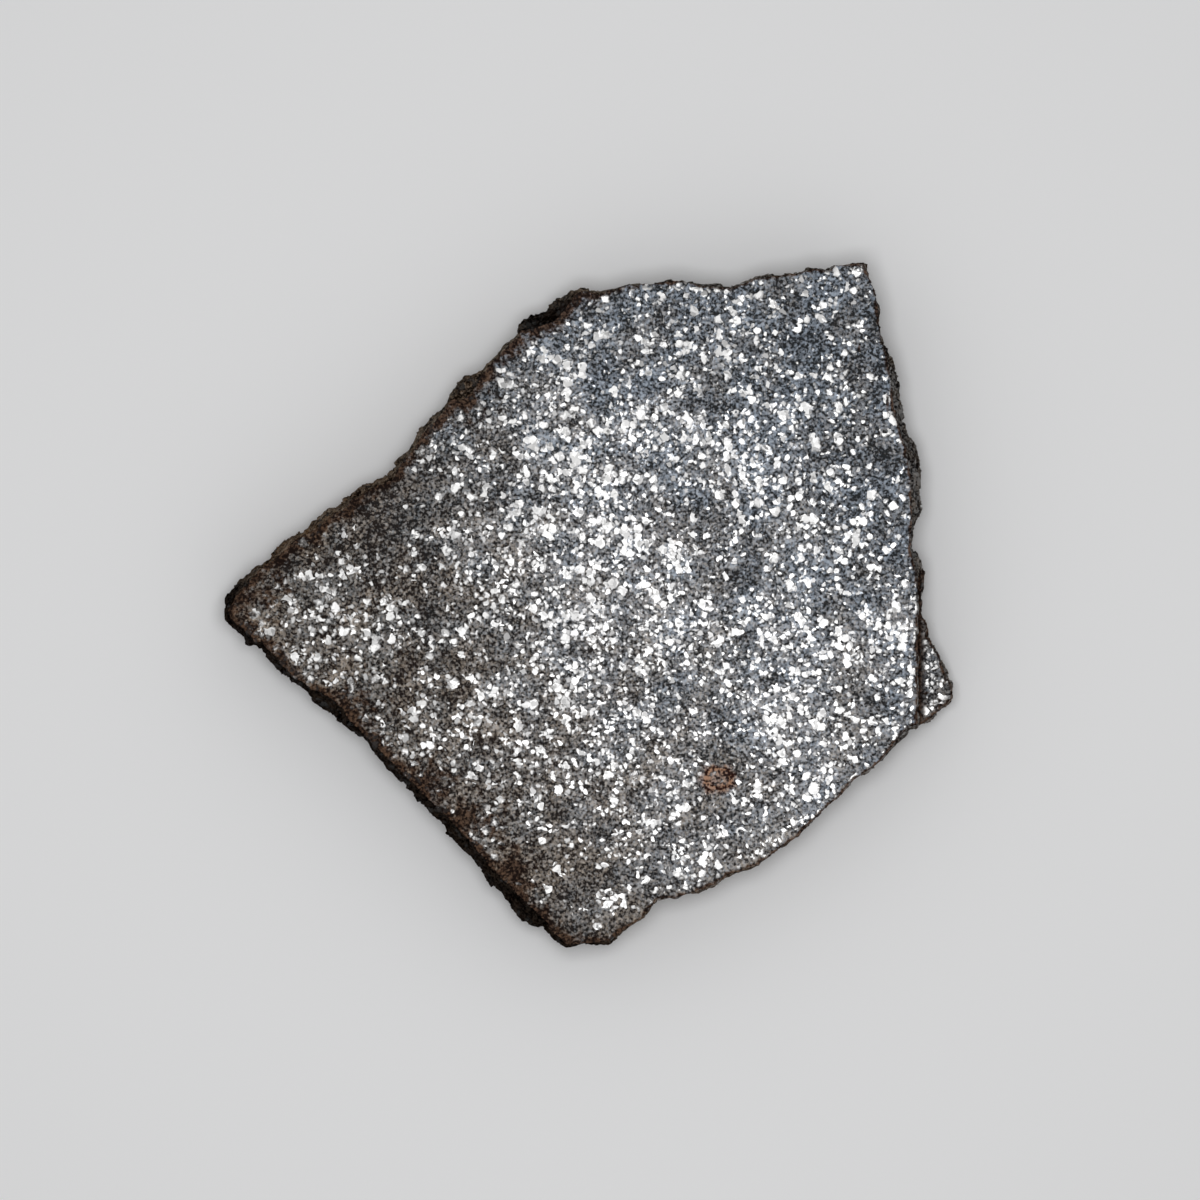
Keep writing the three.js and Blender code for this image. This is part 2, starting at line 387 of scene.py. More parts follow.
# How that share changes where the stone is weathered, and for each size of metal where it is finer
WEATHERED_SHARE = -0.07
FINER_SHARE = (-0.13, 0.16)
# How far the cloud moves the patches, and the bend the outlines of the metal
SWAY_MM = (3.0, -4.0, 0.0)
BEND_MM = (0.36,) * 3
# Metal of two sizes: how far apart its grains are, and their least and greatest radius
METAL_MM = ((0.4, 0.09, 0.31), (0.22, 0.05, 0.165))
# Half the width of a grain's soft outline, and where the dark round a grain begins and is full
OUTLINE_MM = 0.045
HALO_MM = (-0.12, -0.03)
# Nickel iron from dull to bright
SHINE = ("#908f8e", "#d2d1cf")


def metal_share(tree, place, weathering_and_shade):
    """The share of places with metal, and a mask of where the metal is finer."""
    cloud = add(tree, "ShaderNodeTexNoise", {"Vector": place, "Scale": 1 / GRAIN_MM["cloud"],
                                             "Detail": GRAIN_LAYERS})
    share = add(tree, "ShaderNodeMapRange", {0: cloud, 1: CLOUD[0], 2: CLOUD[1],
                                             3: METAL_SHARE[0], 4: METAL_SHARE[1]}, clamp=False)
    share = add(tree, "ShaderNodeMath", {0: weathering_and_shade, 1: WEATHERED_SHARE, 2: share},
                operation="MULTIPLY_ADD")
    sway = add(tree, "ShaderNodeVectorMath", {0: cloud, 1: MIDDLE_POINT}, operation="SUBTRACT")
    swayed = add(tree, "ShaderNodeVectorMath", {0: sway, 1: SWAY_MM, 2: place}, operation="MULTIPLY_ADD")
    for *patch, change in PATCHES:
        near = patch_mask(tree, swayed, patch)
        share = add(tree, "ShaderNodeMath", {0: near, 1: change, 2: share}, operation="MULTIPLY_ADD")
    return share, patch_mask(tree, swayed, FINER)


def metal_grains(tree, place, share, finer):
    """The metal, its colour, the dark halo round it, and the lean of each grain."""
    bend = add(tree, "ShaderNodeTexNoise", {"Vector": place, "Scale": 1 / GRAIN_MM["bend"],
                                            "Detail": GRAIN_LAYERS}, out="Color")
    bend = add(tree, "ShaderNodeVectorMath", {0: bend, 1: MIDDLE_POINT}, operation="SUBTRACT")
    bent = add(tree, "ShaderNodeVectorMath", {0: bend, 1: BEND_MM, 2: place}, operation="MULTIPLY_ADD")
    metal, halo, lean = 0.0, 0.0, (0.0, 0.0, 0.0)
    for (spacing, small, large), change in zip(METAL_MM, FINER_SHARE):
        cells = add(tree, "ShaderNodeTexVoronoi", {"Vector": bent, "Scale": 1 / spacing}).node
        chance = add(tree, "ShaderNodeSeparateColor", {0: cells.outputs["Color"]}).node
        radius = add(tree, "ShaderNodeMapRange", {0: chance.outputs[1], 3: small, 4: large})
        gap = add(tree, "ShaderNodeMath", {0: cells.outputs["Distance"], 1: spacing}, operation="MULTIPLY")
        depth = add(tree, "ShaderNodeMath", {0: radius, 1: gap}, operation="SUBTRACT")
        here = add(tree, "ShaderNodeMath", {0: finer, 1: change, 2: share}, operation="MULTIPLY_ADD")
        there = add(tree, "ShaderNodeMath", {0: chance.outputs[0], 1: here}, operation="LESS_THAN")
        grain = add(tree, "ShaderNodeMapRange", {0: depth, 1: -OUTLINE_MM, 2: OUTLINE_MM, 4: there})
        dark = add(tree, "ShaderNodeMapRange", {0: depth, 1: HALO_MM[0], 2: HALO_MM[1], 4: there})
        tip = add(tree, "ShaderNodeVectorMath", {0: cells.outputs["Color"], 1: MIDDLE_POINT},
                  operation="SUBTRACT")
        lean = add(tree, "ShaderNodeVectorMath", {0: tip, 1: grain, 2: lean}, operation="MULTIPLY_ADD")
        metal = add(tree, "ShaderNodeMath", {0: metal, 1: grain}, operation="MAXIMUM")
        halo = add(tree, "ShaderNodeMath", {0: halo, 1: dark}, operation="MAXIMUM")
    dull, bright = map(linear, SHINE)
    shine = add(tree, "ShaderNodeMix", {0: chance.outputs[2], 6: dull, 7: bright}, **MIX_COLOURS)
    return metal, shine, halo, lean


print(f"metal grains of {len(METAL_MM)} sizes")

# %% The ground between them
# How pale a grain of the ground is: where it starts, and what each pattern adds
PALENESS_START = -1.63
# Weathering and painted shade darken the ground towards the left; painted shade darkens it towards the upper
# right
PALENESS = {"speck": 0.9, "share": 0.7, "halo": -0.3, "weathering_and_shade": -0.22, "upper_right_shade_and_tint": -0.26,
            "fine": 2.5, "clump": 0.8}
# How cool its tint is: where it starts, what each pattern adds, and the cloud's warm and cool ends
TINT_START = -0.2
TINT = {"speck": 0.55, "upper_right_shade_and_tint": 0.5, "cloud": 0.45}
TINT_CLOUD = (0.38, 0.62)
# The darkest and the palest ground, each as a warm and a cool colour: for fresh stone, and for weathered
# stone that is also darker as painted shade
FRESH = (("#292523", "#222528"), ("#a39a90", "#939eac"))
WEATHERED_AND_SHADED = (("#20130b", "#100f0f"), ("#8e7f6e", "#777b7e"))


def paleness(tree, place, parts):
    """From 0 for the darkest grains of the ground to 1 for the palest."""
    noises = {name: add(tree, "ShaderNodeTexNoise", {"Vector": place, "Scale": 1 / GRAIN_MM[name],
                                                     "Detail": GRAIN_LAYERS}) for name in ("fine", "clump")}
    pale = PALENESS_START
    for name, part in {**parts, **noises}.items():
        pale = add(tree, "ShaderNodeMath", {0: part, 1: PALENESS[name], 2: pale}, operation="MULTIPLY_ADD")
    return add(tree, "ShaderNodeClamp", {0: pale})


def coolness(tree, place, speck, upper_right_shade_and_tint):
    """From 0 for a warm tint to 1 for a cool one."""
    tint = add(tree, "ShaderNodeTexNoise", {"Vector": place, "Scale": 1 / GRAIN_MM["tint"],
                                            "Detail": TINT_LAYERS})
    tint = add(tree, "ShaderNodeMapRange", {0: tint, 1: TINT_CLOUD[0], 2: TINT_CLOUD[1], 4: TINT["cloud"]})
    tint = add(tree, "ShaderNodeMath", {0: speck, 1: TINT["speck"], 2: tint}, operation="MULTIPLY_ADD")
    tint = add(tree, "ShaderNodeMath", {0: upper_right_shade_and_tint, 1: TINT["upper_right_shade_and_tint"], 2: tint}, operation="MULTIPLY_ADD")
    return add(tree, "ShaderNodeMath", {0: tint, 1: TINT_START}, operation="ADD", use_clamp=True)


def ground_colour(tree, pale, tint, weathering_and_shade):
    """The colour of a grain of the ground, by how pale and how cool it is, and by its weathering and painted
    shade.
    """
    dark_and_pale = []
    for colours in zip(FRESH, WEATHERED_AND_SHADED):
        tinted = [add(tree, "ShaderNodeMix", {0: tint, 6: linear(warm), 7: linear(cool)}, **MIX_COLOURS)
                  for warm, cool in colours]
        dark_and_pale.append(add(tree, "ShaderNodeMix", {0: weathering_and_shade, 6: tinted[0], 7: tinted[1]},
                                 **MIX_COLOURS))
    return add(tree, "ShaderNodeMix", {0: pale, 6: dark_and_pale[0], 7: dark_and_pale[1]}, **MIX_COLOURS)


print(f"{len(PALENESS)} patterns in the ground")


# %% Join them as one stone
def chondrite_grains():
    """A group that gives the stone's ground, its metal, and the lean of each metal grain."""
    tree = bpy.data.node_groups.new("chondrite_grains", "ShaderNodeTree")
    tree.interface.new_socket("Weathering_and_shade", in_out="INPUT", socket_type="NodeSocketFloat")
    for name, kind in (("Ground", "Color"), ("Metal", "Float"), ("Shine", "Color"), ("Lean", "Vector"),
                       ("Grain", "Float"), ("Tint", "Float")):
        tree.interface.new_socket(name, in_out="OUTPUT", socket_type=f"NodeSocket{kind}")
    weathering_and_shade = add(tree, "NodeGroupInput")
    place = place_mm(tree)
    share, finer = metal_share(tree, place, weathering_and_shade)
    metal, shine, halo, lean = metal_grains(tree, place, share, finer)
    specks = add(tree, "ShaderNodeTexVoronoi", {"Vector": place, "Scale": 1 / GRAIN_MM["speck"]},
                 out="Color")
    specks = add(tree, "ShaderNodeSeparateColor", {0: specks}).node.outputs
    # Cooler towards the upper right, and darker there as painted shade
    upper_right_shade_and_tint = side_mask(tree, place, TO_UPPER_RIGHT)
    pale = paleness(tree, place, {"speck": specks[0], "share": share, "halo": halo,
                                  "weathering_and_shade": weathering_and_shade, "upper_right_shade_and_tint": upper_right_shade_and_tint})
    tint = coolness(tree, place, specks[1], upper_right_shade_and_tint)
    ground = ground_colour(tree, pale, tint, weathering_and_shade)
    add(tree, "NodeGroupOutput", {"Ground": ground, "Metal": metal, "Shine": shine, "Lean": lean,
                                  "Grain": pale, "Tint": tint})
    return tree


GRAINS = chondrite_grains()
print(f"the stone has {len(GRAINS.nodes)} nodes")


# %% [markdown]
# ## The polished face
# Polishing makes the metal a mirror, so a grain is white where it shows the lamp and grey where it
# does not, and it leaves each grain tilted a little its own way. The stone between is only satin.
# Weather has crept in from the left, so there the ground is browner; it is also painted darker there, with
# more dark in it, as painted shade where the lamp's gleam fades. The shelf of the ledge is painted darker
# too, partly weathering and partly painted shade, with dirt and a painted shadow in its corner at the foot
# of the step. The edge is stained brown, most of all along the lower left, and one grain near the lower edge
# has rusted.
# Painting could place all this, but would not follow the stone. Here the stains follow the stored
# distance from the rim and a short list of ovals, and a noise makes their outlines ragged.

# %% Where the face is weathered, and where shade is painted on it
# Directions seen from above, and the distances in millimetres over which each grows from 0 to 1
# From right to left the ground turns browner with weathering, and darker as painted shade where the lamp's
# gleam fades
FROM_RIGHT_TO_LEFT = ((-0.93, -0.37, 0.0), -4.0, 11.0)
UPPER_LEFT = ((-0.68, 0.73, 0.0), 9.5, 11.5)
LOWER_LEFT = ((-0.70, -0.72, 0.0), 10.0, 12.0)
# The shelf is painted darker, as half weathered: partly weathering, partly painted shade below the step
SHELF_WEATHERING_AND_SHADE = 0.5
# Stains, and at the end short cracks: centre, then half width and half height, in millimetres
STAINS = [
    (-12.9, -5.1, 2.0, 1.2),
    (-8.2, -8.8, 1.3, 1.0),
    (-6.0, -10.8, 1.4, 1.2),
    (-4.0, -13.6, 1.2, 1.5),
    (-6.4, 10.8, 1.4, 1.4),
    (-16.9, 0.8, 1.5, 1.4),
    (18.2, -4.3, 0.5, 0.5),
    (13.5, 12.8, 0.1, 0.6),
    (14.9, 10.2, 0.09, 0.4),
    (-11.2, -3.0, 0.09, 0.35),
]
RUST = (6.45, -8.65, 0.85, 0.64)


def spot_distance(tree, place, spot):
    """How far out of an oval spot on the face a place is: 0 in its middle, 1 on its outline."""
    x, y, half_x, half_y = spot
    depth = max(half_x, half_y)
    scaled = add(tree, "ShaderNodeVectorMath", {0: place, 1: (1 / half_x, 1 / half_y, 1 / depth)},
                 operation="MULTIPLY")
    return add(tree, "ShaderNodeVectorMath", {0: scaled, 1: (x / half_x, y / half_y, TOP / depth)},
               out="Value", operation="DISTANCE")


print(f"{len(STAINS)} stains and cracks, and one rust spot")

# %% The brown stains, and the dirt and painted shadow in the shelf's corner
# The stain's width along the rim: everywhere, and more along the upper and the lower left
STAIN_MM = (0.12, 0.45, 0.34)
# The ragged outlines: their size, how rough they are, and how far they reach, in widths of a stain
BLOTCH_MM = 0.6
BLOTCH_LAYERS = 4.0
BLOTCH_ROUGHNESS = 0.65
BLOTCH_REACH = 2.5
# Where a stain begins to fade, where it ends, and how much it hides: along the rim, and in an oval
RIM_STAIN = (0.4, 1.2, 0.95)
OVAL_STAIN = (0.5, 1.2, 0.9)
# Dirt and painted shadow in the corner of the shelf, at the foot of the step: full up to the first distance,
# gone at the second
CORNER_DIRT_AND_SHADOW_MM = (0.15, 0.55)
# Brown from its dark grains to its pale ones
STAIN_BROWN = ("#140601", "#5c4433")


def face_blotch(tree, place):
    """The noise that makes the outlines of stains ragged."""
    blotch = add(tree, "ShaderNodeTexNoise", {"Vector": place, "Scale": 1 / BLOTCH_MM,
                                              "Detail": BLOTCH_LAYERS, "Roughness": BLOTCH_ROUGHNESS})
    return add(tree, "ShaderNodeMapRange", {0: blotch, 3: -BLOTCH_REACH, 4: BLOTCH_REACH})


def face_stain_and_corner_shadow(tree, place, blotch, shelf):
    """How brown the face is: along the rim, in the ovals, and in the corner of the shelf, where it is dirt
    and painted shadow.
    """
    upper, lower = side_mask(tree, place, UPPER_LEFT), side_mask(tree, place, LOWER_LEFT)
    width = add(tree, "ShaderNodeMath", {0: upper, 1: STAIN_MM[1], 2: STAIN_MM[0]}, operation="MULTIPLY_ADD")
    width = add(tree, "ShaderNodeMath", {0: lower, 1: STAIN_MM[2], 2: width}, operation="MULTIPLY_ADD")
    inwards = add(tree, "ShaderNodeAttribute", out="Fac", attribute_name="rim_mm")
    inwards = add(tree, "ShaderNodeMath", {0: inwards, 1: width}, operation="DIVIDE")
    across = add(tree, "ShaderNodeSeparateXYZ", {0: place}, out="X")
    # Dirt and painted shadow at the foot of the step, in the shelf's corner
    full, end = (LEDGE_X_MM + reach for reach in CORNER_DIRT_AND_SHADOW_MM)
    stain = add(tree, "ShaderNodeMapRange", {0: across, 1: full, 2: end, 3: shelf, 4: 0.0})
    gaps = [(inwards, RIM_STAIN)] + [(spot_distance(tree, place, spot), OVAL_STAIN) for spot in STAINS]
    for gap, (fades, ends, hides) in gaps:
        gap = add(tree, "ShaderNodeMath", {0: gap, 1: blotch}, operation="ADD")
        brown = add(tree, "ShaderNodeMapRange", {0: gap, 1: fades, 2: ends, 3: hides, 4: 0.0})
        stain = add(tree, "ShaderNodeMath", {0: stain, 1: brown}, operation="MAXIMUM")
    return stain


print(f"the rim's stain is {STAIN_MM[0]} mm wide or more")

# %% The rust spot
# How far the blotches move its outline
RUST_SWAY = 0.45
# From its middle out to its ring, in shares of its size, and how much rust hides in each
RUST_RING = (0.1, 0.6)
RUST_HIDES = (0.45, 0.95)
# Where its outline begins to fade and where it ends
RUST_EDGE = (0.75, 1.3)
# Which grains are dark rust and which pale, and the colours of those
RUST_GRAINS = (0.25, 0.8)
RUST_COLOURS = ("#2a0e05", "#b0866a")


def face_rust(tree, place, blotch, grain):
    """How rusty the face is, and the colour of the rust."""
    gap = spot_distance(tree, place, RUST)
    gap = add(tree, "ShaderNodeMath", {0: blotch, 1: RUST_SWAY, 2: gap}, operation="MULTIPLY_ADD")
    rust = add(tree, "ShaderNodeMapRange", {0: gap, 1: RUST_RING[0], 2: RUST_RING[1],
                                            3: RUST_HIDES[0], 4: RUST_HIDES[1]})
    rust = add(tree, "ShaderNodeMapRange", {0: gap, 1: RUST_EDGE[0], 2: RUST_EDGE[1], 3: rust, 4: 0.0})
    pale = add(tree, "ShaderNodeMapRange", {0: grain, 1: RUST_GRAINS[0], 2: RUST_GRAINS[1]})
    dark_rust, pale_rust = map(linear, RUST_COLOURS)
    return rust, add(tree, "ShaderNodeMix", {0: pale, 6: dark_rust, 7: pale_rust}, **MIX_COLOURS)


print(f"a rust spot {2 * RUST[2]} mm wide")

# %% Make the polished face
# How rough each thing is: dark grains hold no polish, pale ones do, stains are dull, and the metal's
# fine scratches spread the lamp
ROUGHNESS = {"dark": 0.7, "pale": 0.17, "stained": 0.85, "metal": 0.4}
FACE_SPECULAR = 0.15
# How dull the face is where its metal begins to go, and where none shines any more
METAL_DULLS = (0.3, 0.8)
# How far polishing leaves a metal grain out of level, as a slope
METAL_LEAN = (0.18,) * 3
UPWARDS = (0.0, 0.0, 1.0)


def face_normal(tree, shelf, lean):
    """The way the face looks, with each metal grain leaning its own way."""
    level = add(tree, "ShaderNodeNewGeometry", out="Normal")
    level = add(tree, "ShaderNodeMix", {0: shelf, 4: level, 5: UPWARDS}, out=1, data_type="VECTOR")
    normal = add(tree, "ShaderNodeVectorMath", {0: lean, 1: METAL_LEAN, 2: level}, operation="MULTIPLY_ADD")
    return add(tree, "ShaderNodeVectorMath", {0: normal}, operation="NORMALIZE")


def face_roughness(tree, grain, dull, metallic):
    """Satin stone, matt stains, and metal that spreads the lamp a little."""
    rough = add(tree, "ShaderNodeMapRange", {0: grain, 3: ROUGHNESS["dark"], 4: ROUGHNESS["pale"]})
    rough = add(tree, "ShaderNodeMix", {0: dull, 2: rough, 3: ROUGHNESS["stained"]}, data_type="FLOAT")
    return add(tree, "ShaderNodeMix", {0: metallic, 2: rough, 3: ROUGHNESS["metal"]}, data_type="FLOAT")


def polished_face():
    """Chondrite ground flat and polished."""
    # Polished chondrite shows the eye satin grey stone, in which each grain of metal is a small mirror
    material = bpy.data.materials.new("polished_chondrite")
    material.use_nodes = True
    tree = material.node_tree
    tree.nodes.clear()
    place = place_mm(tree)
    shelf = add(tree, "ShaderNodeAttribute", out="Fac", attribute_name="shelf")
    # Weathering and painted shade: browner and darker towards the left, and on the shelf
    leftward = side_mask(tree, place, FROM_RIGHT_TO_LEFT)
    weathering_and_shade = add(tree, "ShaderNodeMath", {0: shelf, 1: SHELF_WEATHERING_AND_SHADE, 2: leftward},
                     operation="MULTIPLY_ADD", use_clamp=True)
    stone_of = add(tree, "ShaderNodeGroup", {"Weathering_and_shade": weathering_and_shade}, node_tree=GRAINS).node.outputs
    colour = add(tree, "ShaderNodeMix", {0: stone_of["Metal"], 6: stone_of["Ground"], 7: stone_of["Shine"]},
                 **MIX_COLOURS)
    blotch = face_blotch(tree, place)
    # Brown stains, and dirt with painted shadow in the shelf's corner
    stain = face_stain_and_corner_shadow(tree, place, blotch, shelf)
    dark, pale = map(linear, STAIN_BROWN)
    brown = add(tree, "ShaderNodeMix", {0: stone_of["Grain"], 6: dark, 7: pale}, **MIX_COLOURS)
    colour = add(tree, "ShaderNodeMix", {0: stain, 6: colour, 7: brown}, **MIX_COLOURS)
    rust, orange = face_rust(tree, place, blotch, stone_of["Grain"])
    colour = add(tree, "ShaderNodeMix", {0: rust, 6: colour, 7: orange}, **MIX_COLOURS)
    dull = add(tree, "ShaderNodeMath", {0: rust, 1: stain}, operation="MAXIMUM")
    metallic = add(tree, "ShaderNodeMapRange", {0: dull, 1: METAL_DULLS[0], 2: METAL_DULLS[1],
                                                3: stone_of["Metal"], 4: 0.0})
    shader = add(tree, "ShaderNodeBsdfPrincipled", {
        "Base Color": colour,
        "Metallic": metallic,
        "Roughness": face_roughness(tree, stone_of["Grain"], dull, metallic),
        "Normal": face_normal(tree, shelf, stone_of["Lean"]),
        "Specular IOR Level": FACE_SPECULAR,
    })
    add(tree, "ShaderNodeOutputMaterial", {"Surface": shader})
    return material


face_finish = polished_face()
print(f"{face_finish.name} has {len(face_finish.node_tree.nodes)} nodes")


# %% [markdown]
# ## The rough rim
# The rim was never polished, so it is dull. Along the upper left rust has turned it brown. Along the lower
# left it is painted black, partly black crust, melted when the stone fell, and partly painted shade on the
# side turned from the light. Elsewhere the break is fresher, and the stone and some of its metal show
# through. Each could be a material of its own, but on the stone they run into each other, so one material
# mixes them by direction. Dirt stays in the hollows, so the stored height of the crests makes those paler.

# %% Make the rim
RIM_WEATHERING = 0.7
# The dark chip at the top left: its oval, and where its black begins to fade and where it ends
CHIP = (-2.5, 15.0, 2.0, 2.0)
CHIP_EDGE = (0.7, 1.1)
# What wears the rim pale: blotches of this size, its crests and its pale grains
WEAR_MM = 0.4
WEAR_LAYERS = 4.0
WEAR_ROUGHNESS = 0.7
CREST_WEAR = 2.2
GRAIN_WEAR = 0.5
WEAR_RANGE = (0.45, 0.95)
# Dark and pale: brown and rusty crust, and black crust that is also painted shade
BROWN = ("#120b07", "#82776a")
RUSTY = ("#140b05", "#604934")
BLACK_CRUST_AND_SHADE = ("#010000", "#1c130d")
# How much crust hides the stone: on the broken sides, and on the crusted ones
COVER = (0.5, 0.94)
# How much crust begins to hide the shine of metal, and how much hides it all
METAL_HIDES = (0.6, 0.85)
RIM_ROUGHNESS = 0.75
RIM_SPECULAR = 0.0


def rim_wear(tree, place, grain):
    """How worn the rim is, from 0 in its hollows to 1 on its crests."""
    wear = add(tree, "ShaderNodeTexNoise", {"Vector": place, "Scale": 1 / WEAR_MM, "Detail": WEAR_LAYERS,
                                            "Roughness": WEAR_ROUGHNESS})
    crest = add(tree, "ShaderNodeAttribute", out="Fac", attribute_name="crest_mm")
    wear = add(tree, "ShaderNodeMath", {0: crest, 1: CREST_WEAR, 2: wear}, operation="MULTIPLY_ADD")
    wear = add(tree, "ShaderNodeMath", {0: grain, 1: GRAIN_WEAR, 2: wear}, operation="MULTIPLY_ADD")
    return add(tree, "ShaderNodeMapRange", {0: wear, 1: WEAR_RANGE[0], 2: WEAR_RANGE[1]})


def rough_rim():
    """Broken and weathered chondrite, under brown crust, or black crust with painted shade along the lower
    left.
    """
    # Weathered chondrite shows the eye matt, dark crust, with grey stone where that has broken off
    material = bpy.data.materials.new("weathered_chondrite")
    material.use_nodes = True
    tree = material.node_tree
    tree.nodes.clear()
    place = place_mm(tree)
    stone_of = add(tree, "ShaderNodeGroup", {"Weathering_and_shade": RIM_WEATHERING}, node_tree=GRAINS).node.outputs
    wear = rim_wear(tree, place, stone_of["Grain"])
    brown, rusty, black_crust_and_shade = [
        add(tree, "ShaderNodeMix", {0: wear, 6: linear(dark), 7: linear(pale)}, **MIX_COLOURS)
        for dark, pale in (BROWN, RUSTY, BLACK_CRUST_AND_SHADE)
    ]
    brown = add(tree, "ShaderNodeMix", {0: stone_of["Tint"], 6: rusty, 7: brown}, **MIX_COLOURS)
    upper, lower = side_mask(tree, place, UPPER_LEFT), side_mask(tree, place, LOWER_LEFT)
    chip = add(tree, "ShaderNodeMapRange", {0: spot_distance(tree, place, CHIP), 1: CHIP_EDGE[0],
                                            2: CHIP_EDGE[1], 3: 1.0, 4: 0.0})
    # The lower left is painted black, partly crust and partly painted shade on the side turned from the
    # light, and the chip takes the same black
    black_crust_and_shade_mask = add(tree, "ShaderNodeMath", {0: lower, 1: chip}, operation="MAXIMUM")
    crust = add(tree, "ShaderNodeMix", {0: black_crust_and_shade_mask, 6: brown, 7: black_crust_and_shade}, **MIX_COLOURS)
    cover = add(tree, "ShaderNodeMath", {0: upper, 1: black_crust_and_shade_mask}, operation="MAXIMUM")
    cover = add(tree, "ShaderNodeMapRange", {0: cover, 3: COVER[0], 4: COVER[1]})
    bare = add(tree, "ShaderNodeMix", {0: stone_of["Metal"], 6: stone_of["Ground"], 7: stone_of["Shine"]},
               **MIX_COLOURS)
    colour = add(tree, "ShaderNodeMix", {0: cover, 6: bare, 7: crust}, **MIX_COLOURS)
    metallic = add(tree, "ShaderNodeMapRange", {0: cover, 1: METAL_HIDES[0], 2: METAL_HIDES[1],
                                                3: stone_of["Metal"], 4: 0.0})
    shader = add(tree, "ShaderNodeBsdfPrincipled", {"Base Color": colour, "Metallic": metallic,
                                                    "Roughness": RIM_ROUGHNESS,
                                                    "Specular IOR Level": RIM_SPECULAR})
    add(tree, "ShaderNodeOutputMaterial", {"Surface": shader})
    return material


rim_finish = rough_rim()
print(f"{rim_finish.name} has {len(rim_finish.node_tree.nodes)} nodes")


# %% [markdown]
# ## A flat map of the skin
# The exported model carries its colours as pictures, so its skin has to be laid out flat. Blender's
# own layout would cut the gritty rim into thousands of scraps. This one follows how the slice was
# made: the two sawn faces lie side by side, and the rim is unrolled above them as two strips.

# %% Lay the skin out
# The sheet, the gap at its sides, and the length and height of a strip of rim
SHEET_MM = (76.0, 54.0)
SHEET_GAP_MM = 0.7
STRIP_MM = (73.0, 8.0)
# How far below the sheet's top the underside lies in the first and the second strip, in strips
STRIP_FEET = (1.8, 0.8)
# How much of what juts out is laid below what stands upright
LEDGE_SHARE = 0.6
# The steps round the slice in which the rim's usual reach is measured
TURN_STEPS = 360


def unrolled(x, y, z, centres, rim):
    """The rim's places on the sheet: by the turn round the slice, and by height less what juts out."""
    turn = np.arctan2(centres[:, 1], centres[:, 0])
    turn += (np.arctan2(y, x) - turn + math.pi) % (2 * math.pi) - math.pi
    reach = np.hypot(x, y)
    steps = ((turn / (2 * math.pi)) % 1 * TURN_STEPS).astype(int)
    total_reach = np.bincount(steps[rim], reach[rim], TURN_STEPS)
    mean_reach = total_reach / np.bincount(steps[rim], minlength=TURN_STEPS)
    height = z - LEDGE_SHARE * (reach - mean_reach[steps])
    second = centres[:, 1] < 0
    along = (turn + np.where(second, math.pi, 0.0)) / math.pi * STRIP_MM[0] + 2 * SHEET_GAP_MM
    foot = SHEET_MM[1] - STRIP_MM[1] * np.where(second, STRIP_FEET[1], STRIP_FEET[0])
    return np.stack([along, foot + height], axis=1)[rim]


def flat_map(mesh):
    """Adds a UV map with both sawn faces and the unrolled rim."""
    counts = read(mesh.polygons, "loop_total", kind=np.int32)
    corners = read(mesh.loops, "vertex_index", kind=np.int32)
    rim = np.repeat(read(mesh.attributes["rim_face"].data, "value", kind=bool), counts)
    normals = np.repeat(read(mesh.polygons, "normal", 3), counts, axis=0)
    centres = np.repeat(read(mesh.polygons, "center", 3), counts, axis=0)
    x, y, z = read(mesh.vertices, "co", 3)[corners].T / MM
    low_x, low_y = cad_low.x / MM - SHEET_GAP_MM, cad_low.y / MM - SHEET_GAP_MM
    sheet = np.stack([x - low_x, y - low_y], axis=1)
    sheet[normals[:, 2] < 0, 0] += SHEET_MM[0] / 2
    sheet[rim] = unrolled(x, y, z, centres, rim)
    layer = mesh.uv_layers.new(name="OFBake")
    layer.uv.foreach_set("vector", (sheet / SHEET_MM).astype(np.float32).ravel())
    print("the map reaches from", sheet.min(axis=0), "to", sheet.max(axis=0), "mm")


print(f"the sheet is {SHEET_MM[0]} by {SHEET_MM[1]} mm")


# %% [markdown]
# ## The finished slice
# The real slice is one piece of stone, so it is one mesh. The relief could stay a live modifier, but
# the exported model needs plain faces. So the tree runs once, and its result becomes the mesh of a
# new object that stands for the CAD solid.

# %% Build the relief tree
def relief_tree(face_finish, rim_finish):
    """Frets the edge, roughens the rim, and gives the sawn faces and the rim their materials."""
    tree = bpy.data.node_groups.new("rim_relief", "GeometryNodeTree")
    tree.interface.new_socket("Stone", in_out="INPUT", socket_type="NodeSocketGeometry")
    for name in RELIEF:
        tree.interface.new_socket(name, in_out="INPUT", socket_type="NodeSocketFloat")
    tree.interface.new_socket("Stone", in_out="OUTPUT", socket_type="NodeSocketGeometry")
    given = add(tree, "NodeGroupInput").node.outputs
    place = add(tree, "GeometryNodeInputPosition")
    place = add(tree, "ShaderNodeVectorMath", {0: place, "Scale": 1 / MM}, operation="SCALE")
    per_mm = {name: add(tree, "ShaderNodeMath", {0: 1.0, 1: given[name]}, operation="DIVIDE")
              for name in RELIEF if name.endswith("size")}
    moved = fret_edge(tree, given, place, per_mm)
    moved = roughen_rim(tree, given, place, per_mm, moved)
    moved = hold_in_box(tree, moved)
    whole = add(tree, "GeometryNodeRealizeInstances", {"Geometry": moved})
    whole = add(tree, "GeometryNodeSetMaterial", {"Geometry": whole, "Material": face_finish})
    is_rim = add(tree, "GeometryNodeInputNamedAttribute", {"Name": "rim_face"}, data_type="BOOLEAN")
    whole = add(tree, "GeometryNodeSetMaterial", {"Geometry": whole, "Selection": is_rim,
                                                  "Material": rim_finish})
    add(tree, "NodeGroupOutput", {"Stone": whole})
    return tree


TREE = relief_tree(face_finish, rim_finish)
print(f"the relief tree has {len(TREE.nodes)} nodes")

